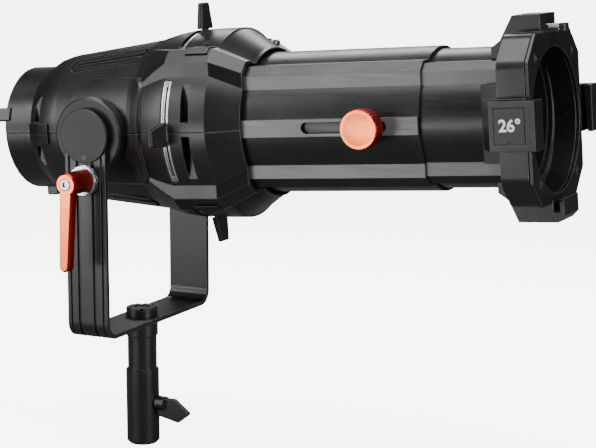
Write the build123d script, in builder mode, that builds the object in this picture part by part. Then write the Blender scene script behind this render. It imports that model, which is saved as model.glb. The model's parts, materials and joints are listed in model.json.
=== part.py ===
from build123d import *
import os
from math import cos, radians, sin, sqrt

# Ellipsoidal spotlight: a zoomable-focus projection head on a stirrup yoke.
# Millimetres. Every piece is drawn about the tilt pivot, with +X towards the beam,
# +Y away from the clamp lever and +Z up, and is then placed above the stand socket.
# The head is stored tipped up a little, so its pieces are turned about the pivot as well.

# ---- placing
pivot_height = 292.6
head_tilt = 4.07

# ---- yoke
bar_width = 40.0
bar_thickness = 4.0
arm_outer = 90.6
arm_inner = arm_outer - bar_thickness
crossbar_top = -173.8
crossbar_bottom = crossbar_top - bar_thickness
bend_radius = 14.0
groove_depth = 1.8
pivot_bolt_radius = 6.0
clamp_drop = 38.0
clamp_stud_radius = 4.0

# ---- stand socket
socket_bore = 8.1
socket_radius = 15.0
socket_depth = 70.0
socket_top = pivot_height - 222.5
neck_radius = 13.2
collar_bottom = pivot_height - 192.6
collar_radius = 14.6
wing_height = 38.5

# ---- tilt discs
disc_radius = 32.2
disc_face = 85.6
disc_back = 73.6
bush_outer = 9.0
running_gap = 0.06

# ---- lamp housing
rear_x = -106.8
barrel_radius = 54.8
lobe_radius = 82.0
cone_start_x = 112.0
mouth_x = 136.5
mouth_radius = 62.3
wall = 3.5
rib_half = 68.0
rib_corner = 57.5
nose_wall_x = 120.0
cover_seat_radius = 80.1
cover_rear_x = 86.8
cover_screw_x = 97.0
housing_posts = ((28.0, 66.5), (104.0, 74.0))
# side vents: middle, floor, length, lower end, upper end
side_vents = (
    (93.0, 71.5, 8.0, 8.5, 40.0), (93.0, 71.5, 8.0, -40.0, -3.5),
    (-68.5, 53.0, 7.5, 9.8, 34.0), (-68.5, 53.0, 7.5, -29.0, -11.5),
)
flange_screw_angles = (15, 105, 195, 285)
cover_screw_angles = (61, 119, -61, -119)

# ---- gate and shutters
side_slot_x = (69.6, 77.6)
side_slot_half = 43.5
end_slot_x = (71.6, 79.6)
end_slot_half = 46.0
gate_radius = 77.8
gate_aperture = 36.0
gate_rear_x = 69.9
gate_front_x = 75.0
plate_thickness = 2.0
blade_thickness = 1.0
blade_half = 37.0
blade_edge = 5.0
blade_tab_end = 94.0
grip_inner = 82.6
grip_outer = 105.3

# ---- lens tube
tube_radius = 60.0
ring_screw_angles = (35, 125, 155, 215, 305)
tube_half = 51.0
tube_corner = 43.0
tube_wall = 2.2
tube_rear_x = 113.5
tube_front_x = 295.3
band_half = 7.3
band_face = 61.2
slot_start_x = 191.3
slot_end_x = 267.5
slot_half_height = 4.65

# ---- lens barrel and accessory holder
slide_gap = 0.3
barrel_wall = 3.0
lens_barrel_rear_x = 184.0
stud_x = 252.5
holder_rear_x = 364.0
holder_split_x = 387.2
plate_rear_x = 388.1
plate_front_x = 390.4
ramp_foot_x = 349.0
holder_half_y = 63.0
holder_half_z = 68.5
holder_cut = 21.0
holder_bore = 57.0
opening_radius = 59.0
opening_drop = 3.0
block_reach = 82.5
side_block_reach = 81.5
block_half = 19.5
top_block_front_x = 386.4
lip_rear_x = 396.0
lip_front_x = 400.3

yoke_place = Location((0, 0, pivot_height))
head_place = Location((0, 0, pivot_height), (0, -head_tilt, 0))

os.makedirs("parts", exist_ok=True)


def save(builder, name, place):
    """Label a finished piece, put it in its place and write it."""
    builder.part.label = name
    piece = builder.part.moved(place)
    piece.label = name
    export_step(piece, f"parts/{name}.step")


def offset_corner(corner, step):
    """Where a chamfered square's corner starts once its outline is grown by step."""
    return corner + step * (sqrt(2) - 1)


def ribbed_outline(radius, half, corner):
    """A circle whose four diagonals carry the chamfered corners of a square."""
    Circle(radius)
    square_outline(half, corner)


def square_outline(half, corner):
    """A square whose corners are cut off at 45 degrees."""
    Polygon(
        (half, corner), (corner, half), (-corner, half), (-half, corner),
        (-half, -corner), (-corner, -half), (corner, -half), (half, -corner),
        align=None,
    )


def octagon_outline(half_y, half_z, cut):
    """A rectangle whose corners are cut off at 45 degrees."""
    Polygon(
        (half_y, half_z - cut), (half_y - cut, half_z), (cut - half_y, half_z), (-half_y, half_z - cut),
        (-half_y, cut - half_z), (cut - half_y, -half_z), (half_y - cut, -half_z), (half_y, cut - half_z),
        align=None,
    )


def around(angle, radius, x=0.0):
    """A plane facing outwards from the optical axis; 0 degrees is -Y and 90 is +Z."""
    a = radians(angle)
    outward = Vector(0, -cos(a), sin(a))
    return Plane(origin=Vector(x, 0, 0) + outward * radius, x_dir=(1, 0, 0), z_dir=outward)


# ======================================================================== yoke


def stirrup_outline(inset):
    """The yoke bar's U, filled, with its outside moved in by inset."""
    width = 2 * (arm_outer - inset)
    height = 240.0
    with Locations((0, crossbar_bottom + inset + height / 2)):
        RectangleRounded(width, height, bend_radius - inset)


with BuildPart() as yoke_bracket:
    with BuildSketch(Plane.YZ.offset(-bar_width / 2)):
        stirrup_outline(0)
        with Locations((0, crossbar_top + 120)):
            RectangleRounded(2 * arm_inner, 240, bend_radius - bar_thickness, mode=Mode.SUBTRACT)
    extrude(amount=bar_width)
    with BuildSketch(Plane.XZ):
        Circle(bar_width / 2)
        with Locations((0, -100)):
            Rectangle(bar_width, 200)
    extrude(amount=110, both=True, mode=Mode.INTERSECT)
    for groove_x, groove_width in ((-16, 1.6), (-7.6, 3.2), (7.6, 3.2), (16, 1.6)):
        with BuildSketch(Plane.YZ.offset(groove_x - groove_width / 2)):
            Rectangle(300, 600)
            with Locations((0, crossbar_bottom + groove_depth + 120)):
                RectangleRounded(
                    2 * (arm_outer - groove_depth), 240, bend_radius - groove_depth, mode=Mode.SUBTRACT
                )
            with Locations((0, 200)):
                Rectangle(300, 350, mode=Mode.SUBTRACT)
        extrude(amount=groove_width, mode=Mode.SUBTRACT)
    with Locations(Location((0, 0, 0), (90, 0, 0))):
        Cylinder(pivot_bolt_radius + 0.1, 300, mode=Mode.SUBTRACT)
    for side in (-1, 1):
        with Locations(Location((0, side * arm_outer, 0), (90, 0, 0))):
            Cylinder(10.3, 2 * 2.8, mode=Mode.SUBTRACT)
    with Locations(Location((0, -arm_outer, -clamp_drop), (90, 0, 0))):
        Cylinder(clamp_stud_radius + 0.1, 30, mode=Mode.SUBTRACT)
    with Locations((0, 0, crossbar_bottom)):
        Cylinder(9.0, 30, mode=Mode.SUBTRACT)
save(yoke_bracket, "yoke_bracket", yoke_place)

with BuildPart() as stand_socket:
    with BuildSketch(Plane.XZ) as socket_half_section:
        with BuildLine():
            Polyline(
                (0, socket_depth),
                (socket_bore, socket_depth - 4),
                (socket_bore, 0),
                (socket_radius - 2.5, 0),
                (socket_radius, 2.5),
                (socket_radius, socket_top - 1.2),
                (socket_radius - 1.2, socket_top),
                (neck_radius, socket_top),
                (neck_radius, collar_bottom),
                (collar_radius, collar_bottom + 1.0),
                (collar_radius, pivot_height + crossbar_bottom),
                (9.0, pivot_height + crossbar_bottom),
                (9.0, pivot_height + crossbar_top),
                (6.0, pivot_height + crossbar_top),
                (6.0, pivot_height + crossbar_top + 6.0),
                (0, pivot_height + crossbar_top + 6.0),
                close=True,
            )
        make_face()
    revolve(axis=Axis.Z)
    with Locations(Location((10, 0, wing_height), (0, 90, 0))):
        Cylinder(4.0 + running_gap, 20, mode=Mode.SUBTRACT)
stand_socket.part.label = "stand_socket"
export_step(stand_socket.part, "parts/stand_socket.step")

with BuildPart() as socket_nut:
    with Locations((0, 0, crossbar_top)):
        Cylinder(14.2, 8.1, align=(Align.CENTER, Align.CENTER, Align.MIN))
    chamfer(socket_nut.edges().group_by(Axis.Z)[-1], 0.8)
    with Locations((0, 0, crossbar_top)):
        Cylinder(6.0, 6.0, align=(Align.CENTER, Align.CENTER, Align.MIN), mode=Mode.SUBTRACT)
    with Locations((0, 0, crossbar_top + 8.1)):
        Cylinder(7.5, 2 * 1.5, mode=Mode.SUBTRACT)
        with PolarLocations(13.0, 6):
            Box(5.0, 3.0, 2 * 2.2, mode=Mode.SUBTRACT)
save(socket_nut, "socket_nut", yoke_place)

with BuildPart() as pivot_caps:
    for side in (-1, 1):
        with Locations(Location((0, side * (arm_outer + 1.1), 0), (90, 0, 0))):
            Cylinder(23.3, 2.2)
    chamfer(pivot_caps.edges().group_by(Axis.Y)[0] + pivot_caps.edges().group_by(Axis.Y)[-1], 0.7)
    for side in (-1, 1):
        with Locations(Location((0, side * (arm_outer + 2.2), -18.2), (90, 0, 0))):
            Cylinder(2.3, 2.4, mode=Mode.SUBTRACT)
save(pivot_caps, "pivot_caps", yoke_place)

with BuildPart() as cap_screws:
    for side in (-1, 1):
        with Locations(Location((0, side * (arm_outer + 1.5), -18.2), (90, 0, 0))):
            Cylinder(2.2, 1.0)
        with Locations(Location((0, side * (arm_outer + 2.0), -18.2), (90, 0, 0))):
            with BuildSketch():
                RegularPolygon(1.1, 6)
            Cylinder(0.9, 1.4, mode=Mode.SUBTRACT)
save(cap_screws, "cap_screws", yoke_place)

bolt_head_seat = arm_outer - 2.8
with BuildPart() as pivot_bolts:
    for side in (-1, 1):
        with BuildSketch(Plane.XY):
            with BuildLine():
                Polyline(
                    (0, side * arm_outer),
                    (10.0, side * arm_outer),
                    (10.0, side * bolt_head_seat),
                    (pivot_bolt_radius, side * bolt_head_seat),
                    (pivot_bolt_radius, side * 66.0),
                    (9.0, side * 66.0),
                    (9.0, side * 61.0),
                    (0, side * 61.0),
                    close=True,
                )
            make_face()
        revolve(axis=Axis.Y)
save(pivot_bolts, "pivot_bolts", yoke_place)

with BuildPart() as friction_washers:
    for side in (-1, 1):
        with Locations(Location((0, side * (arm_inner - 0.45), 0), (90, 0, 0))):
            Cylinder(19.0, 0.9)
            Cylinder(pivot_bolt_radius, 2.0, mode=Mode.SUBTRACT)
save(friction_washers, "friction_washers", yoke_place)

shoe_back = 80.9
with BuildPart() as tilt_clamp_shoe:
    with Locations((0, -(arm_inner + shoe_back) / 2, -clamp_drop - 1.0)):
        Box(24, arm_inner - shoe_back, 13)
    chamfer(tilt_clamp_shoe.edges().filter_by(Axis.Y), 1.2)
    with Locations(Location((0, -80, 0), (90, 0, 0))):
        Cylinder(disc_radius + 0.4, 40, mode=Mode.SUBTRACT)
    with Locations(Location((0, -80, -clamp_drop), (90, 0, 0))):
        Cylinder(clamp_stud_radius, 40, mode=Mode.SUBTRACT)
save(tilt_clamp_shoe, "tilt_clamp_shoe", yoke_place)

collar_face = arm_outer + 6.4
with BuildPart() as clamp_collar:
    # three stacked rims that step in towards the lever
    with BuildSketch(Plane.XZ.offset(arm_outer)):
        with Locations((0, -clamp_drop)):
            Circle(13.4)
    extrude(amount=6.4)
    chamfer(clamp_collar.edges().group_by(Axis.Y)[0], 0.9)
    for groove_y, groove_floor in ((1.9, 11.6), (4.1, 11.0)):
        with BuildSketch(Plane.XZ.offset(arm_outer + groove_y)):
            with Locations((0, -clamp_drop)):
                Circle(15)
                Circle(groove_floor, mode=Mode.SUBTRACT)
        extrude(amount=0.9, mode=Mode.SUBTRACT)
    with BuildSketch(Plane.XZ.offset(arm_outer - 1)):
        with Locations((0, -clamp_drop)):
            Circle(clamp_stud_radius)
    extrude(amount=10, mode=Mode.SUBTRACT)
save(clamp_collar, "clamp_collar", yoke_place)

stud_end = 111.0
with BuildPart() as clamp_stud:
    with Locations(Location((0, -(shoe_back + stud_end) / 2, -clamp_drop), (90, 0, 0))):
        Cylinder(clamp_stud_radius, stud_end - shoe_back)
save(clamp_stud, "clamp_stud", yoke_place)

# ======================================================================== clamp lever

lever_face = 122.0
lever_length = 70.5
lever_lean = -3.2
with BuildPart() as tilt_lever:
    with BuildSketch(Plane.XZ.offset(collar_face + 0.1)):
        with Locations((0, -clamp_drop)):
            Circle(9.9)
    extrude(amount=lever_face - collar_face - 0.1)
    with BuildSketch(Plane.XZ.offset(lever_face - 8.2)):
        with Locations((0, -clamp_drop)):
            Circle(9.9)
        with BuildLine():
            Polyline(
                (6.4, -clamp_drop - 4), (lever_lean + 4.9, -clamp_drop - lever_length),
                (lever_lean - 4.9, -clamp_drop - lever_length), (-6.4, -clamp_drop - 4), close=True,
            )
        make_face()
        with Locations((lever_lean, -clamp_drop - lever_length)):
            Circle(4.9)
    extrude(amount=8.2)
    chamfer(tilt_lever.faces().sort_by(Axis.Y)[0].edges(), 1.4)
    with Locations(Location((0, -lever_face, -clamp_drop), (90, 0, 0))):
        Cylinder(5.2, 3.2, mode=Mode.SUBTRACT)
    with Locations(Location((0, -(collar_face + stud_end) / 2, -clamp_drop), (90, 0, 0))):
        Cylinder(clamp_stud_radius + running_gap, stud_end - collar_face + 1.0, mode=Mode.SUBTRACT)
save(tilt_lever, "tilt_lever", yoke_place)

with BuildPart() as lever_screw:
    with Locations(Location((0, -(lever_face - 0.4), -clamp_drop), (90, 0, 0))):
        Cylinder(4.9, 2.4)
    chamfer(lever_screw.edges().group_by(Axis.Y)[0], 0.5)
    with BuildSketch(Plane.XZ.offset(lever_face + 0.8)):
        with Locations((0, -clamp_drop)):
            RegularPolygon(2.6, 6)
    extrude(amount=-1.8, mode=Mode.SUBTRACT)
save(lever_screw, "lever_screw", yoke_place)

# ======================================================================== wing screw

with BuildPart() as wing_screw:
    with Locations(Location((9.4, 0, wing_height), (0, 90, 0))):
        Cylinder(4.0, 10.0, align=(Align.CENTER, Align.CENTER, Align.MIN))
    with Locations(Location((15.6, 0, wing_height), (0, 90, 0))):
        Cylinder(6.6, 8.4, align=(Align.CENTER, Align.CENTER, Align.MIN))
    with BuildSketch(Plane.XZ.offset(-2.4)) as wing_outline:
        with BuildLine():
            Polyline(
                (17, 27), (17, 40), (26, 43.5), (34, 43.5), (49.5, 31.5), (38, 22.5), close=True
            )
        make_face()
        fillet(wing_outline.vertices(), 1.6)
    extrude(amount=4.8)
wing_screw.part.label = "wing_screw"
export_step(wing_screw.part, "parts/wing_screw.step")

# ======================================================================== lamp housing


def lobe_section(grow):
    """Half section of the housing's round lobes, grown outwards."""
    with BuildSketch(Plane.XY) as section:
        with BuildLine():
            Polyline(
                (cone_start_x, lobe_radius + grow), (mouth_x, 64.8 + grow), (mouth_x, 0), (rear_x, 0),
                (rear_x, barrel_radius - 1.4 + grow), (rear_x + 1.4, barrel_radius + grow),
                (-79, barrel_radius - 0.3 + grow), (-66, 61.6 + grow),
            )
            ThreePointArc((-66, 61.6 + grow), (-57, 64.0 + grow), (-46, 65.4 + grow))
            Line((-46, 65.4 + grow), (36, 74.9 + grow))
            ThreePointArc((36, 74.9 + grow), (52, 79.0 + grow), (72, lobe_radius + grow))
            Line((72, lobe_radius + grow), (cone_start_x, lobe_radius + grow))
        make_face()
    return section.sketch_local


with BuildPart() as corner_ribs:
    with BuildSketch(Plane.YZ.offset(45)):
        square_outline(rib_half, rib_corner)
    extrude(amount=cone_start_x - 45)
    with BuildSketch(Plane.YZ.offset(cone_start_x)):
        square_outline(rib_half, rib_corner)
    with BuildSketch(Plane.YZ.offset(mouth_x)):
        square_outline(55.5, 46.5)
    loft()
    with BuildSketch(Plane.XY):
        with BuildLine():
            Polyline((45, 0), (45, 79), (52.6, 82), (70.8, 89.2), (74, 110), (140, 110), (140, 0), close=True)
        make_face()
    revolve(axis=Axis.X, mode=Mode.INTERSECT)

with BuildPart() as side_pads:
    with BuildSketch(Plane.XY):
        add(lobe_section(3.4))
    revolve(axis=Axis.X)
    with BuildSketch(Plane.XZ) as pad_outline:
        with BuildLine():
            Polyline((-40, -14), (-40, 14), (-20, 46), (48, 46), (48, -46), (-20, -46), close=True)
        make_face()
        fillet(pad_outline.vertices(), 8)
    extrude(amount=100, both=True, mode=Mode.INTERSECT)
    chamfer(side_pads.edges().filter_by(lambda e: abs(e.center().Y) > 50), 2.2)

with BuildPart() as rear_pads:
    with BuildSketch(Plane.XY):
        add(lobe_section(2.2))
    revolve(axis=Axis.X)
    with Locations((-68, 0, 0)):
        Box(28, 200, 17.5, mode=Mode.INTERSECT)

with BuildPart() as parting_groove:
    with BuildSketch(Plane.XY):
        add(lobe_section(8))
        add(lobe_section(-0.7), mode=Mode.SUBTRACT)
    extrude(amount=0.25, both=True)
    mirror(about=Plane.XZ)

with BuildPart() as cavity:
    with BuildSketch(Plane.XY):
        with BuildLine():
            Polyline(
                (rear_x - 1, 0), (rear_x - 1, 51.5), (-98, 51.5), (-98, 49.8), (-81, 49.8), (-66, 57.2),
                (-46, 61.9), (36, 71.4), (72, lobe_radius - wall), (108, lobe_radius - wall),
                (112.5, 71.5), (nose_wall_x, 71.0), (nose_wall_x, 0), close=True,
            )
        make_face()
    revolve(axis=Axis.X)
    for seat_x, seat_length, seat_radius in ((-30, 4, 52.2), (64.9, 5, 71.0), (77, 3, 71.0)):
        with BuildSketch(Plane.YZ.offset(seat_x)):
            Circle(90)
            Circle(seat_radius, mode=Mode.SUBTRACT)
        extrude(amount=seat_length, mode=Mode.SUBTRACT)
    # clearance for the nuts of the tilt pivots
    with Locations(Location((0, 0, 0), (90, 0, 0))):
        Cylinder(11.0, 2 * 66.6)
    # posts for the screws that close the housing
    with Locations(*[(x, side * y, 0) for side in (-1, 1) for x, y in housing_posts]):
        Cylinder(5.0, 36.0, mode=Mode.SUBTRACT)

with BuildPart() as mouth_opening:
    with BuildSketch(Plane.YZ.offset(nose_wall_x - 1)):
        ribbed_outline(mouth_radius, tube_half + 1.7, tube_corner + 0.8)
    extrude(amount=mouth_x - nose_wall_x + 2)

with BuildPart() as nose_seat:
    with BuildSketch(Plane.XY):
        with BuildLine():
            Polyline(
                (cone_start_x + 0.4, 79.0), (mouth_x + 1, 62.9), (mouth_x + 1, 95), (cone_start_x + 0.4, 95),
                close=True,
            )
        make_face()
    revolve(axis=Axis.X)
    with BuildSketch(Plane.YZ.offset(90)):
        for side in (-1, 1):
            Polygon((0, 0), (-68, side * 100), (68, side * 100), align=None)
    extrude(amount=60, mode=Mode.INTERSECT)

with BuildPart() as vent_bosses:
    with BuildSketch(Plane.XY):
        add(lobe_section(-0.4))
    revolve(axis=Axis.X)
    with BuildPart(mode=Mode.INTERSECT):
        for side in (-1, 1):
            for vent_x, vent_floor, vent_length, low, high in side_vents:
                with Locations((vent_x, side * (vent_floor + 2.5), (low + high) / 2)):
                    Box(vent_length + 6, 11, high - low + 6)

with BuildPart() as housing_form:
    with BuildSketch(Plane.XY):
        add(lobe_section(0))
    revolve(axis=Axis.X)
    add(corner_ribs.part)
    add(side_pads.part)
    add(rear_pads.part)
    with Locations(Location((0, 0, 0), (90, 0, 0))):
        Cylinder(28.0, 2 * disc_back)
    # flat seats for the tilt discs
    for side in (-1, 1):
        with Locations(Location((0, side * (disc_back + 10), 0), (90, 0, 0))):
            Cylinder(disc_radius + 0.4, 20, mode=Mode.SUBTRACT)
    # seats for the slot covers, top and bottom
    for side in (-1, 1):
        with BuildSketch(Plane.YZ.offset(cover_rear_x)):
            with Locations((0, side * (rib_half + 20))):
                Rectangle(160, 40)
            Circle(cover_seat_radius, mode=Mode.SUBTRACT)
        extrude(amount=60, mode=Mode.SUBTRACT)
    add(nose_seat.part, mode=Mode.SUBTRACT)

claw_angles = (18, 138, 258)
vent_slope = radians(6.6)

with BuildPart() as housing:
    add(housing_form.part)
    add(cavity.part, mode=Mode.SUBTRACT)
    add(vent_bosses.part)
    add(mouth_opening.part, mode=Mode.SUBTRACT)
    add(parting_groove.part, mode=Mode.SUBTRACT)
    with Locations(Location((0, 0, 0), (90, 0, 0))):
        Cylinder(bush_outer, 200, mode=Mode.SUBTRACT)
    # shutter slots in the four lobes
    with Locations((sum(side_slot_x) / 2, 0, 0)):
        Box(side_slot_x[1] - side_slot_x[0], 200, 2 * side_slot_half, mode=Mode.SUBTRACT)
    with Locations((sum(end_slot_x) / 2, 0, 0)):
        Box(end_slot_x[1] - end_slot_x[0], 2 * end_slot_half, 200, mode=Mode.SUBTRACT)
    # wedge vents in front of the side slots and behind the tilt discs
    for side in (-1, 1):
        for vent_x, vent_floor, vent_length, low, high in side_vents:
            with Locations((vent_x, side * (vent_floor + 15), (low + high) / 2)):
                Box(vent_length, 30, high - low, mode=Mode.SUBTRACT)
    # long diagonal recesses, each with two cooling bars left standing
    for angle in (60, 120, 240, 300):
        a = radians(angle)
        recess = Plane(
            origin=(-4, -70.3 * cos(a), 70.3 * sin(a)),
            x_dir=(cos(vent_slope), -sin(vent_slope) * cos(a), sin(vent_slope) * sin(a)),
            z_dir=(-sin(vent_slope), -cos(vent_slope) * cos(a), cos(vent_slope) * sin(a)),
        )
        with BuildSketch(recess.offset(5)):
            SlotOverall(82, 22)
            with Locations((0, -5), (0, 5)):
                SlotOverall(72, 5.5, mode=Mode.SUBTRACT)
        extrude(amount=-7.4, mode=Mode.SUBTRACT)
    # notches for the bayonet claws
    for angle in claw_angles:
        with BuildSketch(around(angle, 45)):
            with Locations((rear_x, 0)):
                Rectangle(12.4, 11.4)
        extrude(amount=30, mode=Mode.SUBTRACT)
    # holes for the tube flange screws and the housing screws
    for angle in flange_screw_angles:
        a = radians(angle)
        with Locations(Location((nose_wall_x + 2, -65.7 * cos(a), 65.7 * sin(a)), (0, 90, 0))):
            Cylinder(2.0, 6.0, mode=Mode.SUBTRACT)
    with Locations(*[(x, side * y, -2.0) for side in (-1, 1) for x, y in housing_posts]):
        Cylinder(2.0, 32.0, mode=Mode.SUBTRACT)
    with Locations(*[(x, side * y, -21.0) for side in (-1, 1) for x, y in housing_posts]):
        Cylinder(3.6, 6.0, mode=Mode.SUBTRACT)

with BuildPart() as upper_housing:
    add(housing.part)
    split(bisect_by=Plane.XY, keep=Keep.TOP)
save(upper_housing, "upper_housing", head_place)

with BuildPart() as lower_housing:
    add(housing.part)
    split(bisect_by=Plane.XY, keep=Keep.BOTTOM)
save(lower_housing, "lower_housing", head_place)

with BuildPart() as housing_screws:
    with Locations(*[(x, side * y, -2.0) for side in (-1, 1) for x, y in housing_posts]):
        Cylinder(2.0, 32.0)
    with Locations(*[(x, side * y, -19.5) for side in (-1, 1) for x, y in housing_posts]):
        Cylinder(3.4, 3.0)
save(housing_screws, "housing_screws", head_place)

with BuildPart() as bayonet_ring:
    with BuildSketch(Plane.YZ.offset(rear_x + 0.2)):
        Circle(51.2)
        Circle(46.0, mode=Mode.SUBTRACT)
    extrude(amount=-98 - rear_x - 0.2)
    for angle in claw_angles:
        with BuildSketch(around(angle, 49)):
            with Locations(((rear_x - 13.2 - 101) / 2, 0)):
                Rectangle(rear_x - 101 - 2 * rear_x + 13.2, 11.0)
        extrude(amount=7.2)
    chamfer(bayonet_ring.edges().group_by(Axis.X)[0], 0.8)
save(bayonet_ring, "bayonet_ring", head_place)

with BuildPart() as bayonet_lock:
    with Locations((-95, 0, -57.0)):
        Box(10.0, 10.0, 10.6)
    fillet(bayonet_lock.edges().group_by(Axis.Z)[0], 1.2)
    add(housing_form.part, mode=Mode.SUBTRACT)
save(bayonet_lock, "bayonet_lock", head_place)

with BuildPart() as tilt_discs:
    for side in (-1, 1):
        with Locations(Location((0, side * (disc_back + disc_face) / 2, 0), (90, 0, 0))):
            Cylinder(disc_radius, disc_face - disc_back)
    chamfer(tilt_discs.edges().group_by(Axis.Y)[0] + tilt_discs.edges().group_by(Axis.Y)[-1], 1.5)
    with Locations(Location((0, 0, 0), (90, 0, 0))):
        Cylinder(bush_outer, 200, mode=Mode.SUBTRACT)
save(tilt_discs, "tilt_discs", head_place)

with BuildPart() as tilt_bushes:
    for side in (-1, 1):
        with Locations(Location((0, side * (67.5 + disc_face) / 2, 0), (90, 0, 0))):
            Cylinder(bush_outer, disc_face - 67.5)
            Cylinder(pivot_bolt_radius + running_gap, 30, mode=Mode.SUBTRACT)
save(tilt_bushes, "tilt_bushes", head_place)


with BuildPart() as cover_nose:
    with BuildSketch(Plane.XY):
        with BuildLine():
            Polyline(
                (100, 60), (100, 82.3), (112.4, 82.3), (112.6, 80.8), (137.6, 64.4), (140.5, 64.0),
                (140.5, mouth_radius + 0.3), (130, mouth_radius + 0.3), close=True,
            )
        make_face()
    revolve(axis=Axis.X)
    with BuildSketch(Plane.YZ.offset(90)):
        for side in (-1, 1):
            Polygon((0, 0), (-67.5, side * 100), (67.5, side * 100), align=None)
    extrude(amount=60, mode=Mode.INTERSECT)

with BuildPart() as slot_covers:
    with BuildSketch(Plane.YZ.offset(cover_rear_x)):
        ribbed_outline(82.3, rib_half + 1.3, offset_corner(rib_corner, 1.3))
        Rectangle(200, 2 * 64.5, mode=Mode.SUBTRACT)
    extrude(amount=108.5 - cover_rear_x)
    add(cover_nose.part)
    add(housing_form.part, mode=Mode.SUBTRACT)
    for angle in cover_screw_angles:
        with Locations(around(angle, 82.3, cover_screw_x).location):
            Cylinder(2.7, 1.8, mode=Mode.SUBTRACT)

with BuildPart() as top_cover:
    add(slot_covers.part)
    split(bisect_by=Plane.XY, keep=Keep.TOP)
save(top_cover, "top_cover", head_place)

with BuildPart() as bottom_cover:
    add(slot_covers.part)
    split(bisect_by=Plane.XY, keep=Keep.BOTTOM)
save(bottom_cover, "bottom_cover", head_place)

with BuildPart() as cover_screws:
    for angle in cover_screw_angles:
        with Locations(around(angle, 82.2, cover_screw_x).location):
            Cylinder(2.4, 1.6)
        with Locations(around(angle, 83.0, cover_screw_x).location):
            Box(3.2, 0.7, 1.0, mode=Mode.SUBTRACT)
save(cover_screws, "cover_screws", head_place)

# ======================================================================== condenser


def lens_section(rear_rim, front_rim, radius, rear_dome, front_dome):
    """Half section of a round lens; a dome of 0 is a flat face."""
    with BuildSketch(Plane.XY) as section:
        with BuildLine():
            for rim, dome in ((rear_rim, -rear_dome), (front_rim, front_dome)):
                if dome == 0:
                    Line((rim, 0), (rim, radius))
                else:
                    ball = (radius**2 + dome**2) / (2 * abs(dome))
                    sag = ball - sqrt(ball**2 - (radius / 2) ** 2)
                    middle = rim + dome - sag * dome / abs(dome)
                    ThreePointArc((rim + dome, 0), (middle, radius / 2), (rim, radius))
            Line((rear_rim, radius), (front_rim, radius))
            Line((rear_rim - rear_dome, 0), (front_rim + front_dome, 0))
        make_face()
    return section.sketch_local


with BuildPart() as condenser_cell:
    with BuildSketch(Plane.YZ.offset(-60)):
        Circle(51.9)
    extrude(amount=52)
    with BuildSketch(Plane.YZ.offset(-26)):
        Circle(56.0)
    extrude(amount=3)
    with BuildSketch(Plane.YZ.offset(-60)):
        Circle(46.0)
    extrude(amount=52, mode=Mode.SUBTRACT)
    with PolarLocations(0, 8):
        with Locations(Location((-34, 49, 0), (90, 0, 0))):
            Cylinder(3.0, 12, mode=Mode.SUBTRACT)
save(condenser_cell, "condenser_cell", head_place)

with BuildPart() as rear_condenser_lens:
    with BuildSketch(Plane.XY):
        add(lens_section(-56, -52, 45.8, 0, 14))
    revolve(axis=Axis.X)
save(rear_condenser_lens, "rear_condenser_lens", head_place)

with BuildPart() as front_condenser_lens:
    with BuildSketch(Plane.XY):
        add(lens_section(-16, -12, 45.8, 14, 0))
    revolve(axis=Axis.X)
save(front_condenser_lens, "front_condenser_lens", head_place)

with BuildPart() as condenser_rings:
    for ring_x, ring_length in ((-60, 4), (-50.5, 33), (-12, 4)):
        with BuildSketch(Plane.YZ.offset(ring_x)):
            Circle(46.0)
            Circle(43.6, mode=Mode.SUBTRACT)
        extrude(amount=ring_length)
save(condenser_rings, "condenser_rings", head_place)

# ======================================================================== gate and shutters

gate_middle_x = (gate_rear_x + plate_thickness + gate_front_x) / 2
spacer_places = [(gate_middle_x, side_y * 51, side_z * 51) for side_y in (-1, 1) for side_z in (-1, 1)]


def gate_plate(x, end_tab_half, end_reach):
    """A round plate with tabs that show in the shutter slots."""
    with BuildPart() as plate:
        with BuildSketch(Plane.YZ.offset(x)):
            Rectangle(200, 2 * side_slot_half - 1)
            Rectangle(2 * end_tab_half, 2 * end_reach)
            Circle(80.8, mode=Mode.INTERSECT)
            Circle(gate_radius)
            Circle(gate_aperture, mode=Mode.SUBTRACT)
        extrude(amount=plate_thickness)
    return plate


rear_gate_plate = gate_plate(gate_rear_x, 10.0, 70.0)
save(rear_gate_plate, "rear_gate_plate", head_place)
front_gate_plate = gate_plate(gate_front_x, end_slot_half - 0.5, 90.0)
save(front_gate_plate, "front_gate_plate", head_place)

with BuildPart() as gate_spacers:
    with Locations(*spacer_places):
        Cylinder(3.0, gate_front_x - gate_rear_x - plate_thickness, rotation=(0, 90, 0))
save(gate_spacers, "gate_spacers", head_place)

with BuildPart() as blade_guides:
    with BuildSketch(Plane.YZ.offset(gate_rear_x + plate_thickness)):
        for side_y in (-1, 1):
            for side_z in (-1, 1):
                with Locations((side_y * 67, side_z * 40.5)):
                    Rectangle(20, 5.4)
                with Locations((side_y * 42.8, side_z * 67)):
                    Rectangle(5.4, 20)
        Circle(81.2, mode=Mode.INTERSECT)
    extrude(amount=gate_front_x - gate_rear_x - plate_thickness)
save(blade_guides, "blade_guides", head_place)


def grip_shift(radius, drop):
    """How far a grip leans off its blade's centre line at this radius."""
    return -drop * (radius - 70) / 30


def shutter_blade(x, angle, drop):
    """A shutter blade sliding along the outward direction at this angle."""
    with BuildPart() as blade:
        with BuildSketch(Plane.YZ.offset(x)):
            Circle(80.4)
            with Locations((-(100 + blade_edge) / 2, 0)):
                Rectangle(100 - blade_edge, 2 * blade_half, mode=Mode.INTERSECT)
            near_shift = grip_shift(76, drop)
            end_shift = grip_shift(blade_tab_end, drop)
            Polygon(
                (-76, near_shift - 6), (-76, near_shift + 6), (-blade_tab_end, end_shift + 6),
                (-blade_tab_end, end_shift - 6), align=None,
            )
        extrude(amount=blade_thickness)
    return blade.part.rotate(Axis.X, -angle)


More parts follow.
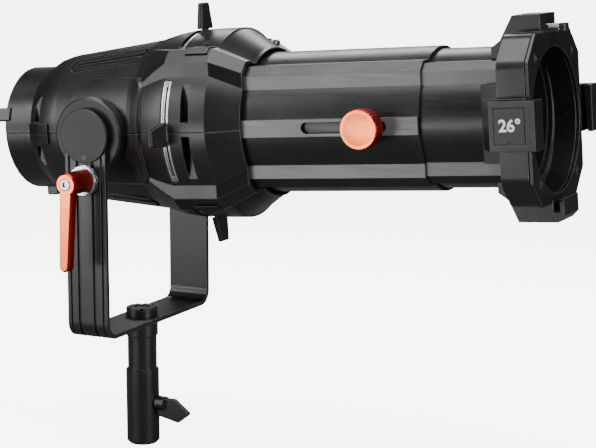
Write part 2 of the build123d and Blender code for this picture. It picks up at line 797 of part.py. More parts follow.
def shutter_grip(x, blade, angle, drop):
    """The moulded grip that closes around a blade's tab, set off centre by drop."""
    with BuildPart() as grip:
        for radius, width, depth in ((grip_inner, 21.0, 6.2), (grip_outer, 14.4, 4.4)):
            with BuildSketch(Plane.XZ.offset(radius)):
                with Locations((x + 2.7, grip_shift(radius, drop))):
                    RectangleRounded(depth, width, 2.0)
        loft()
        fillet(grip.faces().sort_by(Axis.Y)[0].edges(), 1.4)
        fillet(grip.faces().sort_by(Axis.Y)[-1].edges(), 0.8)
    return grip.part.rotate(Axis.X, -angle) - blade


blade_layers = (
    ("near", 0, 72.2, 2.6), ("top", 90, 73.7, 0.0), ("far", 180, 72.2, -2.6), ("bottom", 270, 73.7, 6.0),
)
for blade_name, blade_angle, blade_x, grip_drop in blade_layers:
    blade_solid = shutter_blade(blade_x, blade_angle, grip_drop)
    grip_solid = shutter_grip(blade_x - 2.2, blade_solid, blade_angle, grip_drop)
    for piece, piece_name in ((blade_solid, f"{blade_name}_shutter"), (grip_solid, f"{blade_name}_shutter_grip")):
        placed = piece.moved(head_place)
        placed.label = piece_name
        export_step(placed, f"parts/{piece_name}.step")

# ======================================================================== lens tube

inner_half = tube_half - tube_wall
inner_corner = offset_corner(tube_corner, -tube_wall)
with BuildPart() as lens_tube:
    with BuildSketch(Plane.YZ.offset(tube_rear_x)):
        ribbed_outline(tube_radius, tube_half, tube_corner)
        Rectangle(2 * band_face, 2 * band_half)
    extrude(amount=tube_front_x - tube_rear_x)
    with BuildSketch(Plane.YZ.offset(tube_rear_x)):
        ribbed_outline(tube_radius - tube_wall, inner_half, inner_corner)
    extrude(amount=tube_front_x - tube_rear_x, mode=Mode.SUBTRACT)
    with BuildSketch(Plane.YZ.offset(tube_front_x - 3)):
        ribbed_outline(tube_radius - 1, tube_half - 1, offset_corner(tube_corner, -1))
    extrude(amount=3, mode=Mode.SUBTRACT)
    with BuildSketch(Plane.XZ.offset(50)):
        with Locations(((slot_start_x + slot_end_x) / 2, 0)):
            SlotOverall(slot_end_x - slot_start_x, 2 * slot_half_height)
    extrude(amount=20, mode=Mode.SUBTRACT)
save(lens_tube, "lens_tube", head_place)

with BuildPart() as tube_wiper:
    with BuildSketch(Plane.YZ.offset(tube_front_x - 3)):
        ribbed_outline(tube_radius - 1, tube_half - 1, offset_corner(tube_corner, -1))
        with BuildSketch(mode=Mode.PRIVATE) as wiper_opening:
            ribbed_outline(tube_radius - tube_wall, inner_half, inner_corner)
        add(wiper_opening.sketch_local, mode=Mode.SUBTRACT)
    extrude(amount=3)
save(tube_wiper, "tube_wiper", head_place)

with BuildPart() as tube_form:
    with BuildSketch(Plane.YZ.offset(tube_rear_x)):
        ribbed_outline(tube_radius, tube_half, tube_corner)
        Rectangle(2 * band_face, 2 * band_half)
    extrude(amount=tube_front_x - tube_rear_x)

with BuildPart() as tube_flange:
    with BuildSketch(Plane.YZ.offset(tube_rear_x)):
        Circle(70.6)
    extrude(amount=nose_wall_x - tube_rear_x)
    add(tube_form.part, mode=Mode.SUBTRACT)
    for angle in flange_screw_angles:
        a = radians(angle)
        with Locations(Location((nose_wall_x - 3, -65.7 * cos(a), 65.7 * sin(a)), (0, 90, 0))):
            Cylinder(2.0, 10.0, mode=Mode.SUBTRACT)
save(tube_flange, "tube_flange", head_place)

with BuildPart() as flange_screws:
    for angle in flange_screw_angles:
        a = radians(angle)
        with Locations(Location((tube_rear_x, -65.7 * cos(a), 65.7 * sin(a)), (0, 90, 0))):
            Cylinder(2.0, nose_wall_x + 5 - tube_rear_x, align=(Align.CENTER, Align.CENTER, Align.MIN))
            Cylinder(3.4, 3.2, align=(Align.CENTER, Align.CENTER, Align.MAX))
save(flange_screws, "flange_screws", head_place)

with BuildPart() as tube_lock_screw:
    with Locations(around(127, 78.5, 118).location):
        Cylinder(3.0, 10.0)
    add(housing_form.part, mode=Mode.SUBTRACT)
save(tube_lock_screw, "tube_lock_screw", head_place)

# ======================================================================== lens carriage

barrel_half = inner_half - slide_gap
barrel_corner = offset_corner(inner_corner, -slide_gap)
barrel_outer = tube_radius - tube_wall - slide_gap
barrel_bore = barrel_outer - barrel_wall

with BuildPart() as barrel_form:
    with BuildSketch(Plane.YZ.offset(lens_barrel_rear_x)):
        ribbed_outline(barrel_outer, barrel_half, barrel_corner)
    extrude(amount=holder_rear_x - lens_barrel_rear_x)

with BuildPart() as lens_barrel:
    add(barrel_form.part)
    with BuildSketch(Plane.YZ.offset(lens_barrel_rear_x)):
        Circle(barrel_bore)
    extrude(amount=holder_rear_x - lens_barrel_rear_x, mode=Mode.SUBTRACT)
save(lens_barrel, "lens_barrel", head_place)

with BuildPart() as rear_lens:
    with BuildSketch(Plane.XY):
        add(lens_section(278, 284, barrel_bore - 0.2, 0, 16))
    revolve(axis=Axis.X)
save(rear_lens, "rear_lens", head_place)

with BuildPart() as front_lens:
    with BuildSketch(Plane.XY):
        add(lens_section(338, 343, barrel_bore - 0.2, 9, 9))
    revolve(axis=Axis.X)
save(front_lens, "front_lens", head_place)

with BuildPart() as lens_ring_screws:
    for angle in ring_screw_angles:
        a = radians(angle)
        with Locations(Location((347, -52.6 * cos(a), 52.6 * sin(a)), (0, 90, 0))):
            Cylinder(1.2, 4.6, align=(Align.CENTER, Align.CENTER, Align.MIN))

with BuildPart() as lens_retaining_rings:
    for ring_x, ring_length in ((274, 4), (285.7, 4), (334, 3), (344, 4)):
        with BuildSketch(Plane.YZ.offset(ring_x)):
            Circle(barrel_bore)
            Circle(barrel_bore - 2.6, mode=Mode.SUBTRACT)
        extrude(amount=ring_length)
    # the front ring opens out towards the beam
    with BuildSketch(Plane.XY):
        Polygon(
            (348, barrel_bore), (352, barrel_bore), (352, barrel_bore - 0.6), (348, barrel_bore - 2.6), align=None
        )
    revolve(axis=Axis.X)
    add(lens_ring_screws.part, mode=Mode.SUBTRACT)
save(lens_retaining_rings, "lens_retaining_rings", head_place)
save(lens_ring_screws, "lens_ring_screws", head_place)

with BuildPart() as focus_key:
    with BuildSketch(Plane.XZ.offset(50)):
        with Locations((stud_x, 0)):
            SlotOverall(17.6, 2 * (slot_half_height - 0.07))
    extrude(amount=band_face - 1.3 - 50)
    with BuildSketch(Plane.XZ.offset(band_face - 1.3)):
        with Locations((stud_x, 0)):
            Circle(3.0)
    extrude(amount=10.6)
    add(barrel_form.part, mode=Mode.SUBTRACT)
save(focus_key, "focus_key", head_place)

knob_rear = 69.0
knob_face = 83.0
with BuildPart() as focus_knob:
    with Locations(Location((stud_x, -(knob_rear + knob_face) / 2, 0), (90, 0, 0))):
        Cylinder(16.5, knob_face - knob_rear)
    chamfer(focus_knob.edges(), 0.9)
    with BuildSketch(Plane.XZ.offset(knob_rear)):
        with Locations((stud_x, 0)):
            with PolarLocations(17.0, 32):
                Circle(1.0)
    extrude(amount=knob_face - knob_rear, mode=Mode.SUBTRACT)
    # slightly dished face
    with Locations((stud_x, -(knob_face + 149.4), 0)):
        Sphere(150, mode=Mode.SUBTRACT)
    with BuildSketch(Plane.XZ.offset(band_face + 0.3)):
        with Locations((stud_x, 0)):
            Circle(7.0)
    extrude(amount=knob_rear - band_face - 0.3)
    with BuildSketch(Plane.XZ.offset(band_face + 0.3)):
        with Locations((stud_x, 0)):
            Circle(3.0 + running_gap)
    extrude(amount=10.2, mode=Mode.SUBTRACT)
save(focus_knob, "focus_knob", head_place)

# ======================================================================== accessory holder

plate_post_y = 45.5
plate_post_z = 49.5
post_places = [(side_y * plate_post_y, side_z * plate_post_z) for side_y in (-1, 1) for side_z in (-1, 1)]

with BuildPart() as accessory_holder:
    # the octagonal body flares out of the barrel, with a ramped block on each side
    with BuildSketch(Plane.YZ.offset(ramp_foot_x)):
        octagon_outline(58.2, 58.2, 25.3)
    with BuildSketch(Plane.YZ.offset(holder_rear_x)):
        octagon_outline(holder_half_y, holder_half_z, holder_cut)
    loft()
    with BuildSketch(Plane.YZ.offset(ramp_foot_x)):
        with Locations(*[(side_y * 61, side_z * 61) for side_y in (-1, 1) for side_z in (-1, 1)]):
            Rectangle(60, 60)
    extrude(amount=holder_rear_x - ramp_foot_x, mode=Mode.SUBTRACT)
    with BuildSketch(Plane.YZ.offset(holder_rear_x)) as holder_outline:
        octagon_outline(holder_half_y, holder_half_z, holder_cut)
        fillet(holder_outline.vertices(), 12)
    extrude(amount=holder_split_x - holder_rear_x)
    with BuildSketch(Plane.XY):
        for side in (-1, 1):
            Polygon(
                (ramp_foot_x, 0), (ramp_foot_x, side * 57.6), (363, side * side_block_reach),
                (lip_front_x, side * side_block_reach), (lip_front_x, 0), align=None,
            )
    extrude(amount=block_half, both=True)
    with BuildSketch(Plane.XZ):
        Polygon(
            (ramp_foot_x, 0), (ramp_foot_x, 57.6), (363, block_reach), (top_block_front_x, block_reach),
            (top_block_front_x, 0), align=None,
        )
        Polygon(
            (ramp_foot_x, 0), (ramp_foot_x, -57.6), (361, -84), (394.5, -84), (399.5, -79), (399.5, 0),
            align=None,
        )
    extrude(amount=block_half - 1.0, both=True)
    # room for the front plate and the gel frame
    with BuildSketch(Plane.YZ.offset(holder_split_x)):
        Rectangle(2 * 61.8, 2 * 66.8)
    extrude(amount=plate_front_x - holder_split_x, mode=Mode.SUBTRACT)
    with BuildSketch(Plane.YZ.offset(plate_front_x)):
        Rectangle(2 * 75.0, 2 * 76.0)
    extrude(amount=lip_rear_x - plate_front_x, mode=Mode.SUBTRACT)
    with BuildSketch(Plane.YZ.offset(lip_rear_x)):
        with Locations((0, 17.75)):
            Rectangle(2 * 62.0, 2 * 82.25)
    extrude(amount=20, mode=Mode.SUBTRACT)
    # light opening and seat on the barrel
    with BuildSketch(Plane.YZ.offset(holder_rear_x)):
        Circle(holder_bore)
    extrude(amount=60, mode=Mode.SUBTRACT)
    with BuildSketch(Plane.YZ.offset(holder_rear_x + 4)):
        with Locations((0, -opening_drop)):
            Circle(opening_radius)
    extrude(amount=60, mode=Mode.SUBTRACT)
    add(barrel_form.part, mode=Mode.SUBTRACT)
    with BuildSketch(Plane.YZ.offset(ramp_foot_x - 1)):
        Circle(barrel_outer - 1)
    extrude(amount=holder_rear_x - ramp_foot_x + 2, mode=Mode.SUBTRACT)
    # pocket for the sprung frame latch, scale plate recess, plate screw holes
    with Locations((363, -4, 71.0)):
        Box(40, 11.6, 6.8, align=(Align.MIN, Align.CENTER, Align.CENTER), mode=Mode.SUBTRACT)
    with Locations((379.5, -side_block_reach, 0)):
        Box(26.2, 2.0, 29.2, mode=Mode.SUBTRACT)
    with Locations(*[Location((holder_split_x - 5, y, z), (0, 90, 0)) for y, z in post_places]):
        Cylinder(2.0, 14.0, mode=Mode.SUBTRACT)
save(accessory_holder, "accessory_holder", head_place)

with BuildPart() as holder_front_plate:
    with BuildSketch(Plane.YZ.offset(plate_rear_x)):
        octagon_outline(holder_half_y, holder_half_z, holder_cut)
        with Locations((61.7 + 10, 0), (-61.7 - 10, 0)):
            Rectangle(20, 2 * block_half + 0.6, mode=Mode.SUBTRACT)
        with Locations((0, -66.7 - 10)):
            Rectangle(2 * block_half + 0.6, 20, mode=Mode.SUBTRACT)
        with Locations((-4, 67.3 + 10)):
            Rectangle(12.6, 20, mode=Mode.SUBTRACT)
        with Locations((0, -opening_drop)):
            Circle(opening_radius, mode=Mode.SUBTRACT)
    extrude(amount=plate_front_x - plate_rear_x)
    with BuildSketch(Plane.YZ.offset(holder_split_x)):
        with Locations(*post_places):
            Circle(4.5)
    extrude(amount=plate_rear_x - holder_split_x)
    with Locations(*[Location((plate_front_x, y, z), (0, 90, 0)) for y, z in post_places]):
        Cylinder(2.0, 14.0, mode=Mode.SUBTRACT)
        Cylinder(3.4, 2 * 1.3, mode=Mode.SUBTRACT)
save(holder_front_plate, "holder_front_plate", head_place)

with BuildPart() as holder_screws:
    with Locations(*[Location((plate_front_x - 0.1, y, z), (0, 90, 0)) for y, z in post_places]):
        Cylinder(3.3, 1.2, align=(Align.CENTER, Align.CENTER, Align.MAX))
        Cylinder(2.0, 12.0, align=(Align.CENTER, Align.CENTER, Align.MAX))
    for y, z in post_places:
        with Locations((plate_front_x - 0.1, y, z)):
            Box(1.2, 4.4, 0.9, mode=Mode.SUBTRACT)
            Box(1.2, 0.9, 4.4, mode=Mode.SUBTRACT)
save(holder_screws, "holder_screws", head_place)

with BuildPart() as scale_plate:
    with Locations((379.5, 0.6 - side_block_reach, 0)):
        Box(25.0, 0.8, 28.0)
    with Locations((380, 0.6 - side_block_reach, -13.2)):
        Box(4.4, 2.0, 2.4, mode=Mode.SUBTRACT)
save(scale_plate, "scale_plate", head_place)

with BuildPart() as frame_latch:
    with Locations((379, -4, 71.0)):
        Box(20.0, 11.2, 6.4, align=(Align.MIN, Align.CENTER, Align.CENTER))
save(frame_latch, "frame_latch", head_place)

with BuildPart() as latch_tip:
    with Locations((399, -4, 71.0)):
        Box(5.0, 11.2, 6.4, align=(Align.MIN, Align.CENTER, Align.CENTER))
    chamfer(latch_tip.faces().sort_by(Axis.X)[-1].edges(), 1.0)
save(latch_tip, "latch_tip", head_place)
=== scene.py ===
import json
from math import cos, radians, sin

import bpy
from mathutils import Matrix, Vector


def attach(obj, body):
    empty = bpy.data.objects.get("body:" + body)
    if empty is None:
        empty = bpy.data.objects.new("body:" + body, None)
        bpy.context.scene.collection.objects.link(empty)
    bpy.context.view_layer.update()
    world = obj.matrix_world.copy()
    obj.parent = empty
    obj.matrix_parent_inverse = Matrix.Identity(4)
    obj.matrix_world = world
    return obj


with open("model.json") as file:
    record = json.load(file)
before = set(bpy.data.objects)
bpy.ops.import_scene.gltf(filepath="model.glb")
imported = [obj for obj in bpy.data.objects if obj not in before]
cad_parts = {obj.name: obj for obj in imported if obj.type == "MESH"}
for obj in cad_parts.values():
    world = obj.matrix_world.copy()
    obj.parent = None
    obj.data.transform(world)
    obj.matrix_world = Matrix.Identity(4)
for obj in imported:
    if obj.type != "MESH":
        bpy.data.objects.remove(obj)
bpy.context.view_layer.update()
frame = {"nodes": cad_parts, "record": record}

# The tilt pivot and the head's tilt at rest, as in the CAD. Lengths are in metres.
PIVOT = Vector((0.0, 0.0, 0.2926))
HEAD_TILT = radians(4.07)
HEAD = Matrix.Translation(PIVOT) @ Matrix.Rotation(-HEAD_TILT, 4, "Y")


# ------------------------------------------------------------------ materials

# Noise comes out mostly between these values.
NOISE_RANGE = (0.3, 0.7)
CLOUDS = dict(scale=28.0, detail=4.0, roughness=0.6)
SCRATCHES = dict(scale=260.0, detail=5.0, roughness=0.65)
SCRATCH_RANGE = (0.35, 0.6)
LEAST_WEAR = 0.35
GRAIN_STRENGTH = 0.6
# The sum of grain and clouds, which sets the roughness between its two limits.
ROUGHNESS_RANGE = (0.7, 1.3)
# Cosine between the true normal and the rounded one, from flat ground to a sharp edge.
EDGE_COSINES = (0.995, 0.86)
BEVEL_SAMPLES = 4


class Graph:
    """A small helper that builds one node material."""

    def __init__(self, name):
        self.material = bpy.data.materials.new(name)
        self.material.use_nodes = True
        self.tree = self.material.node_tree
        self.tree.nodes.clear()
        self.shader = self.node("ShaderNodeBsdfPrincipled")
        output = self.node("ShaderNodeOutputMaterial")
        self.tree.links.new(self.shader.outputs["BSDF"], output.inputs["Surface"])
        self.coords = self.node("ShaderNodeTexCoord").outputs["Object"]

    def node(self, kind, **settings):
        made = self.tree.nodes.new(kind)
        for key, value in settings.items():
            setattr(made, key, value)
        return made

    def link(self, source, target):
        if isinstance(source, bpy.types.NodeSocket):
            self.tree.links.new(source, target)
        else:
            target.default_value = source

    def math(self, operation, a, b=0.0, clamp=False):
        made = self.node("ShaderNodeMath", operation=operation, use_clamp=clamp)
        self.link(a, made.inputs[0])
        self.link(b, made.inputs[1])
        return made.outputs[0]

    def noise(self, scale, detail=3.0, roughness=0.5, stretch=None):
        source = self.coords
        if stretch:
            mapping = self.node("ShaderNodeMapping")
            mapping.inputs["Scale"].default_value = stretch
            self.link(source, mapping.inputs["Vector"])
            source = mapping.outputs["Vector"]
        made = self.node("ShaderNodeTexNoise")
        made.inputs["Scale"].default_value = scale
        made.inputs["Detail"].default_value = detail
        made.inputs["Roughness"].default_value = roughness
        self.link(source, made.inputs["Vector"])
        return made.outputs["Fac"]

    def span(self, value, low, high, out_low, out_high):
        made = self.node("ShaderNodeMapRange")
        made.inputs["From Min"].default_value = low
        made.inputs["From Max"].default_value = high
        made.inputs["To Min"].default_value = out_low
        made.inputs["To Max"].default_value = out_high
        self.link(value, made.inputs["Value"])
        return made.outputs["Result"]

    def mix(self, factor, a, b):
        made = self.node("ShaderNodeMix", data_type="RGBA")
        self.link(factor, made.inputs["Factor"])
        self.link(a, made.inputs["A"])
        self.link(b, made.inputs["B"])
        return made.outputs["Result"]

    def edges(self, radius):
        """1 on sharp edges, 0 on flat ground; also the rounded normal."""
        bevel = self.node("ShaderNodeBevel", samples=BEVEL_SAMPLES)
        bevel.inputs["Radius"].default_value = radius
        geometry = self.node("ShaderNodeNewGeometry")
        dot = self.node("ShaderNodeVectorMath", operation="DOT_PRODUCT")
        self.link(bevel.outputs["Normal"], dot.inputs[0])
        self.link(geometry.outputs["Normal"], dot.inputs[1])
        mask = self.span(dot.outputs["Value"], *EDGE_COSINES, 0.0, 1.0)
        return mask, bevel.outputs["Normal"]

    def bump(self, height, distance, normal):
        made = self.node("ShaderNodeBump")
        made.inputs["Strength"].default_value = GRAIN_STRENGTH
        made.inputs["Distance"].default_value = distance
        self.link(height, made.inputs["Height"])
        self.link(normal, made.inputs["Normal"])
        return made.outputs["Normal"]

    def axes(self, vector):
        """The X, Y and Z of a vector."""
        made = self.node("ShaderNodeSeparateXYZ")
        self.link(vector, made.inputs["Vector"])
        return made.outputs

    def sideways(self):
        """How squarely the surface faces along the tilt axis, from 0 to 1. A tilt doesn't change it."""
        normal = self.node("ShaderNodeNewGeometry").outputs["Normal"]
        return self.math("ABSOLUTE", self.axes(normal)["Y"])


def rgba(color):
    return (*color, 1.0)


def lighter(color, factor):
    return tuple(min(1.0, c * factor) for c in color)


def finish(name, color, rough=(0.4, 0.5), metallic=0.0, coat=0.0, spread=0.18, grain=900.0,
           grain_depth=0.00002, brushed=None, edge=1.6, edge_radius=0.0006, painted_sheen_mask=None,
           painted_sheen_color=None):
    """A painted, anodised or moulded surface: cloudy colour, fine grain, and edges painted lighter,
    partly as wear and partly as a painted highlight.

    The colour varies by spread either way, and is edge times as light on edges, as wear and a painted
    highlight together.
    A mask function picks the faces that take a lighter colour instead, a painted highlight where light
    falls on them.
    """
    g = Graph(name)
    clouds = g.noise(**CLOUDS)
    darkest = rgba(lighter(color, 1 - spread))
    lightest = rgba(lighter(color, 1 + spread))
    base = g.mix(g.span(clouds, *NOISE_RANGE, 0.0, 1.0), darkest, lightest)
    # Faces picked by the mask are painted lighter: a painted highlight, not a colour of their own.
    if painted_sheen_mask:
        base = g.mix(painted_sheen_mask(g), base, rgba(painted_sheen_color))
    # Edges are painted lighter, partly for wear and partly as a painted highlight along them.
    edge_mask, rounded = g.edges(edge_radius)
    wear = g.span(g.noise(**SCRATCHES), *SCRATCH_RANGE, LEAST_WEAR, 1.0)
    worn_and_highlit = g.math("MULTIPLY", edge_mask, wear, clamp=True)
    base = g.mix(worn_and_highlit, base, rgba(lighter(color, edge)))
    g.link(base, g.shader.inputs["Base Color"])
    fine = g.noise(grain, detail=2.0, stretch=brushed)
    roughness = g.span(g.math("ADD", fine, clouds), *ROUGHNESS_RANGE, *rough)
    g.link(roughness, g.shader.inputs["Roughness"])
    g.link(g.bump(fine, grain_depth, rounded), g.shader.inputs["Normal"])
    g.shader.inputs["Metallic"].default_value = metallic
    g.shader.inputs["Coat Weight"].default_value = coat
    return g.material


DUST = dict(scale=40.0, detail=4.0, roughness=0.6)
DUST_SHADE = 0.93
DUST_ROUGHNESS = 0.02
GLASS_IOR = 1.5
# The tint of the lens coating.
BLOOM = (0.75, 0.80, 1.0)
BLOOM_WEIGHT = 0.6


def glass(name, tint):
    """Coated lens glass with a little dust."""
    g = Graph(name)
    dust = g.noise(**DUST)
    g.link(g.mix(dust, rgba(tint), rgba(lighter(tint, DUST_SHADE))), g.shader.inputs["Base Color"])
    g.link(g.span(dust, *NOISE_RANGE, 0.0, DUST_ROUGHNESS), g.shader.inputs["Roughness"])
    g.shader.inputs["Transmission Weight"].default_value = 1.0
    g.shader.inputs["IOR"].default_value = GLASS_IOR
    g.shader.inputs["Coat Weight"].default_value = BLOOM_WEIGHT
    g.shader.inputs["Coat Tint"].default_value = rgba(BLOOM)
    return g.material


# A facet faces along the tilt axis. It is either more than FACET_HEIGHT above or below mid height,
# or the narrow band at mid height, which is further than BAND_REACH to one side.
FACET_COSINE = 0.985
FACET_HEIGHT = 0.0300
BAND_HALF_HEIGHT = 0.0074
BAND_REACH = 0.0600


def tube_facets_painted_sheen(g):
    """Mask of the flat facets milled along the tube and the barrel, in the head's own frame; they are
    painted lighter as a painted reflection of the softboxes.
    """
    mapping = g.node("ShaderNodeMapping", vector_type="POINT")
    mapping.inputs["Rotation"].default_value = (0.0, HEAD_TILT, 0.0)
    mapping.inputs["Location"].default_value = Matrix.Rotation(HEAD_TILT, 3, "Y") @ -PIVOT
    g.link(g.coords, mapping.inputs["Vector"])
    place = g.axes(mapping.outputs["Vector"])
    across = g.math("ABSOLUTE", place["Y"])
    height = g.math("ABSOLUTE", place["Z"])
    square = g.math("GREATER_THAN", g.sideways(), FACET_COSINE)
    flat = g.math("GREATER_THAN", height, FACET_HEIGHT)
    low = g.math("LESS_THAN", height, BAND_HALF_HEIGHT)
    band = g.math("MULTIPLY", low, g.math("GREATER_THAN", across, BAND_REACH))
    return g.math("MULTIPLY", square, g.math("ADD", flat, band, clamp=True))


HIGHLIGHT_COSINES = (0.80, 0.97)


def axis_faces_painted_highlight(g):
    """Mask of the faces square to the tilt axis, which are painted a lighter peach as a painted
    highlight.
    """
    return g.span(g.sideways(), *HIGHLIGHT_COSINES, 0.0, 1.0)


# The paint's edges are painted many times lighter, partly wear and partly a painted highlight.
PAINT = dict(rough=(0.27, 0.40), spread=0.2, grain=1400.0, grain_depth=0.00003, edge=13.0,
             edge_radius=0.0011)
# The anodised flats are painted light grey, a painted reflection of the softboxes on them.
ANODISED = dict(rough=(0.27, 0.37), spread=0.2, grain=500.0, brushed=(0.05, 1.0, 1.0), edge=8.0,
                painted_sheen_mask=tube_facets_painted_sheen, painted_sheen_color=(0.1125, 0.1125, 0.1245))
MATERIALS = {
    "housing_black": finish("housing_paint", (0.0065, 0.0065, 0.0073), **PAINT),
    "cover_black": finish("cover_paint", (0.0060, 0.0060, 0.0065), **PAINT),
    "tube_grey": finish("tube_anodised", (0.0075, 0.0075, 0.0083), **ANODISED),
    "barrel_grey": finish("barrel_anodised", (0.0075, 0.0075, 0.0083), **ANODISED),
    "holder_black": finish("holder_paint", (0.0070, 0.0070, 0.0078), **PAINT),
    "yoke_black": finish("yoke_paint", (0.0070, 0.0070, 0.0078), **PAINT),
    "disc_black": finish(
        "disc_paint", (0.0070, 0.0070, 0.0075), rough=(0.40, 0.52), spread=0.12, grain=1800.0,
        grain_depth=0.00004, edge=3.0,
    ),
    "socket_grey": finish("socket_paint", (0.0060, 0.0060, 0.0066), **PAINT),
    # The red is painted peach on the faces square to the tilt axis as a painted highlight; the sides
    # keep the darker red.
    "red_anodised": finish(
        "red_anodised", (0.33, 0.008, 0.004), rough=(0.24, 0.36), metallic=0.9, coat=0.15,
        spread=0.10, painted_sheen_mask=axis_faces_painted_highlight, painted_sheen_color=(0.92, 0.20, 0.055),
    ),
    "zinc": finish(
        "zinc_plate", (0.46, 0.47, 0.49), rough=(0.20, 0.32), metallic=1.0, spread=0.08, grain=700.0,
        edge=1.2,
    ),
    "screw_black": finish(
        "black_oxide", (0.06, 0.06, 0.065), rough=(0.30, 0.42), metallic=0.8, edge=2.0,
    ),
    "shutter_steel": finish(
        "shutter_steel", (0.66, 0.66, 0.67), rough=(0.26, 0.40), metallic=1.0, spread=0.10,
        grain=600.0, brushed=(1.0, 1.0, 0.04), edge=1.2,
    ),
    "grip_black": finish(
        "grip_moulding", (0.0060, 0.0060, 0.0065), rough=(0.42, 0.56), spread=0.15, grain=2200.0,
        grain_depth=0.00005, edge=3.0,
    ),
    "tip_black": finish(
        "tip_moulding", (0.0060, 0.0060, 0.0065), rough=(0.4, 0.55), grain=2200.0, edge=3.0,
    ),
    "cell_black": finish(
        "cell_anodised", (0.011, 0.011, 0.012), rough=(0.28, 0.40), spread=0.1, edge=2.4,
    ),
    "lens_glass": glass("lens_glass", (0.80, 0.84, 0.90)),
    "bush_bronze": finish(
        "bush_bronze", (0.62, 0.42, 0.20), rough=(0.3, 0.45), metallic=1.0, edge=1.2,
    ),
    "washer_grey": finish("washer_nylon", (0.30, 0.30, 0.31), rough=(0.5, 0.6), edge=1.2),
    "wiper_rubber": finish(
        "wiper_rubber", (0.010, 0.010, 0.010), rough=(0.6, 0.75), grain=1500.0, edge=2.0,
    ),
    "scale_label": finish(
        "scale_label", (0.020, 0.020, 0.022), rough=(0.35, 0.45), spread=0.06, edge=1.8,
    ),
}

# The lock lug under the bayonet ring is blacked, unlike the other plated pieces.
REPAINTED = {"bayonet_lock": "screw_black"}

for part in frame["record"]["subparts"]:
    node = frame["nodes"][part["node"]]
    node.data.materials.clear()
    node.data.materials.append(MATERIALS[REPAINTED.get(part["node"], part["material_slot"])])


# ------------------------------------------------------------------ marking on the scale plate

# The middle of the print, in the head's own frame, just proud of the scale plate's face.
PRINT_PLACE = (0.3801, -0.08134, 0.0002)
PRINT_HALF_DEPTH = 0.00006
FONT_SIZE = 0.013216
# The font is thinner than the lettering, so its outline is swollen by this much.
STROKE_SWELL = 0.00034


def marking():
    """The beam angle, printed in white on the scale plate."""
    curve = bpy.data.curves.new("beam_angle", "FONT")
    curve.body = "26\u00b0"
    curve.size = FONT_SIZE
    curve.align_x = "CENTER"
    curve.align_y = "CENTER"
    curve.extrude = PRINT_HALF_DEPTH
    curve.offset = STROKE_SWELL
    text = bpy.data.objects.new("beam_angle_text", curve)
    bpy.context.scene.collection.objects.link(text)
    bpy.context.view_layer.update()
    depsgraph = bpy.context.evaluated_depsgraph_get()
    mesh = bpy.data.meshes.new_from_object(text.evaluated_get(depsgraph))
    bpy.data.objects.remove(text)
    made = bpy.data.objects.new("beam_angle_marking", mesh)
    upright = Matrix.Rotation(radians(90), 4, "X")
    mesh.transform(HEAD @ Matrix.Translation(PRINT_PLACE) @ upright)
    bpy.context.scene.collection.objects.link(made)
    mesh.materials.clear()
    mesh.materials.append(finish("marking_ink", (0.96, 0.96, 0.96), spread=0.03, edge=1.0))
    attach(made, "lens_carriage")


marking()

# ------------------------------------------------------------------ floor, light and camera

# How brightly the floor and the room show, and how dimly the room lights the object.
GLOW = 6.0
ROOM_LIGHT = 0.06
FLOOR_REACH = 60.0
FLOOR_LEVEL = -0.0005
FLOOR_CORNERS = 24
# Between these distances from the object the floor stops taking light.
FLOOR_FADE = (0.8, 1.3)
FLOOR_PAINT = ((0.86, 0.86, 0.87), (0.90, 0.90, 0.90))
FLOOR_PAINT_FAR = (0.03, 0.03, 0.03)
FLOOR_THROWN_BACK = (0.16, 0.16, 0.16)
WHITE = (1.0, 1.0, 1.0)


def floor():
    """A wide pale floor; it shows white but throws back less light than it shows.

    Further out it takes no light from the softboxes over it, so that none leaves a bright patch.
    """
    g = Graph("floor_paint")
    cloud = g.noise(1.5)
    paint = g.mix(cloud, rgba(FLOOR_PAINT[0]), rgba(FLOOR_PAINT[1]))
    away = g.node("ShaderNodeVectorMath", operation="LENGTH")
    g.link(g.coords, away.inputs[0])
    far = g.span(away.outputs["Value"], *FLOOR_FADE, 0.0, 1.0)
    paint = g.mix(far, paint, rgba(FLOOR_PAINT_FAR))
    seen = g.node("ShaderNodeLightPath").outputs["Is Camera Ray"]
    g.link(g.mix(seen, rgba(FLOOR_THROWN_BACK), paint), g.shader.inputs["Base Color"])
    g.shader.inputs["Roughness"].default_value = 0.85
    g.shader.inputs["Specular IOR Level"].default_value = 0.2
    g.shader.inputs["Emission Color"].default_value = rgba(WHITE)
    g.link(g.math("MULTIPLY", seen, GLOW), g.shader.inputs["Emission Strength"])
    turns = [radians(360 * corner / FLOOR_CORNERS) for corner in range(FLOOR_CORNERS)]
    verts = [(FLOOR_REACH * cos(turn), FLOOR_REACH * sin(turn), FLOOR_LEVEL) for turn in turns]
    mesh = bpy.data.meshes.new("pale_floor")
    mesh.from_pydata(verts, [], [tuple(range(FLOOR_CORNERS))])
    mesh.materials.append(g.material)
    made = bpy.data.objects.new("pale_floor", mesh)
    bpy.context.scene.collection.objects.link(made)


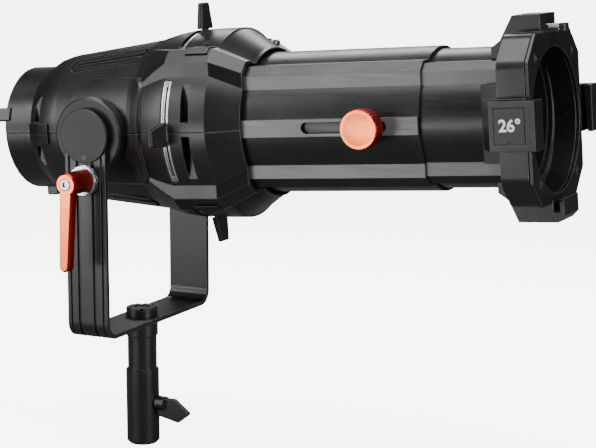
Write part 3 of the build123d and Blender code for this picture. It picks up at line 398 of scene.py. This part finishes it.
def studio():
    """A room that is dim for the object, and as pale as the floor where the camera looks past it."""
    world = bpy.data.worlds.new("studio")
    world.use_nodes = True
    tree = world.node_tree
    background = tree.nodes["Background"]
    background.inputs["Color"].default_value = rgba(WHITE)
    seen = tree.nodes.new("ShaderNodeLightPath").outputs["Is Camera Ray"]
    strength = tree.nodes.new("ShaderNodeMapRange")
    strength.inputs["To Min"].default_value = ROOM_LIGHT
    strength.inputs["To Max"].default_value = GLOW
    tree.links.new(seen, strength.inputs["Value"])
    tree.links.new(strength.outputs["Result"], background.inputs["Strength"])
    bpy.context.scene.world = world


def place_aimed(name, data, place, aim):
    """A light or camera at a place, turned towards a point."""
    made = bpy.data.objects.new(name, data)
    made.location = place
    toward = Vector(aim) - Vector(place)
    made.rotation_euler = toward.to_track_quat("-Z", "Y").to_euler()
    bpy.context.scene.collection.objects.link(made)
    return made


# Each softbox's place, width and height, and power in watts. All face the middle of the head.
SOFTBOX_AIM = (0.12, 0.0, 0.27)
SOFTBOXES = {
    "overhead": ((0.15, -0.35, 1.5), (1.7, 0.8), 30.0),
    "left_low": ((-0.62, -1.45, 0.10), (1.0, 0.22), 8.0),
    "left_high": ((-1.2, -1.3, 1.0), (0.45, 1.1), 15.0),
    "front_right": ((1.7, -0.45, 0.5), (0.35, 1.0), 22.0),
    "rim_back": ((-0.3, 1.3, 1.2), (1.2, 0.5), 12.0),
}


def softbox(name, place, size, power):
    data = bpy.data.lights.new(name, "AREA")
    data.shape = "RECTANGLE"
    data.size, data.size_y = size
    data.energy = power
    place_aimed(name, data, place, SOFTBOX_AIM)


# Lens and sensor in millimetres.
CAMERA_LENS = 115.5
CAMERA_SENSOR = 36.0
CAMERA_PLACE = (0.8769, -1.4621, 0.4949)
CAMERA_AIM = (0.1582, 0.0, 0.2146)


def camera():
    data = bpy.data.cameras.new("camera")
    data.lens = CAMERA_LENS
    data.sensor_width = CAMERA_SENSOR
    bpy.context.scene.camera = place_aimed("camera", data, CAMERA_PLACE, CAMERA_AIM)


floor()
studio()
for box_name, (box_place, box_size, box_power) in SOFTBOXES.items():
    softbox(box_name, box_place, box_size, box_power)
camera()
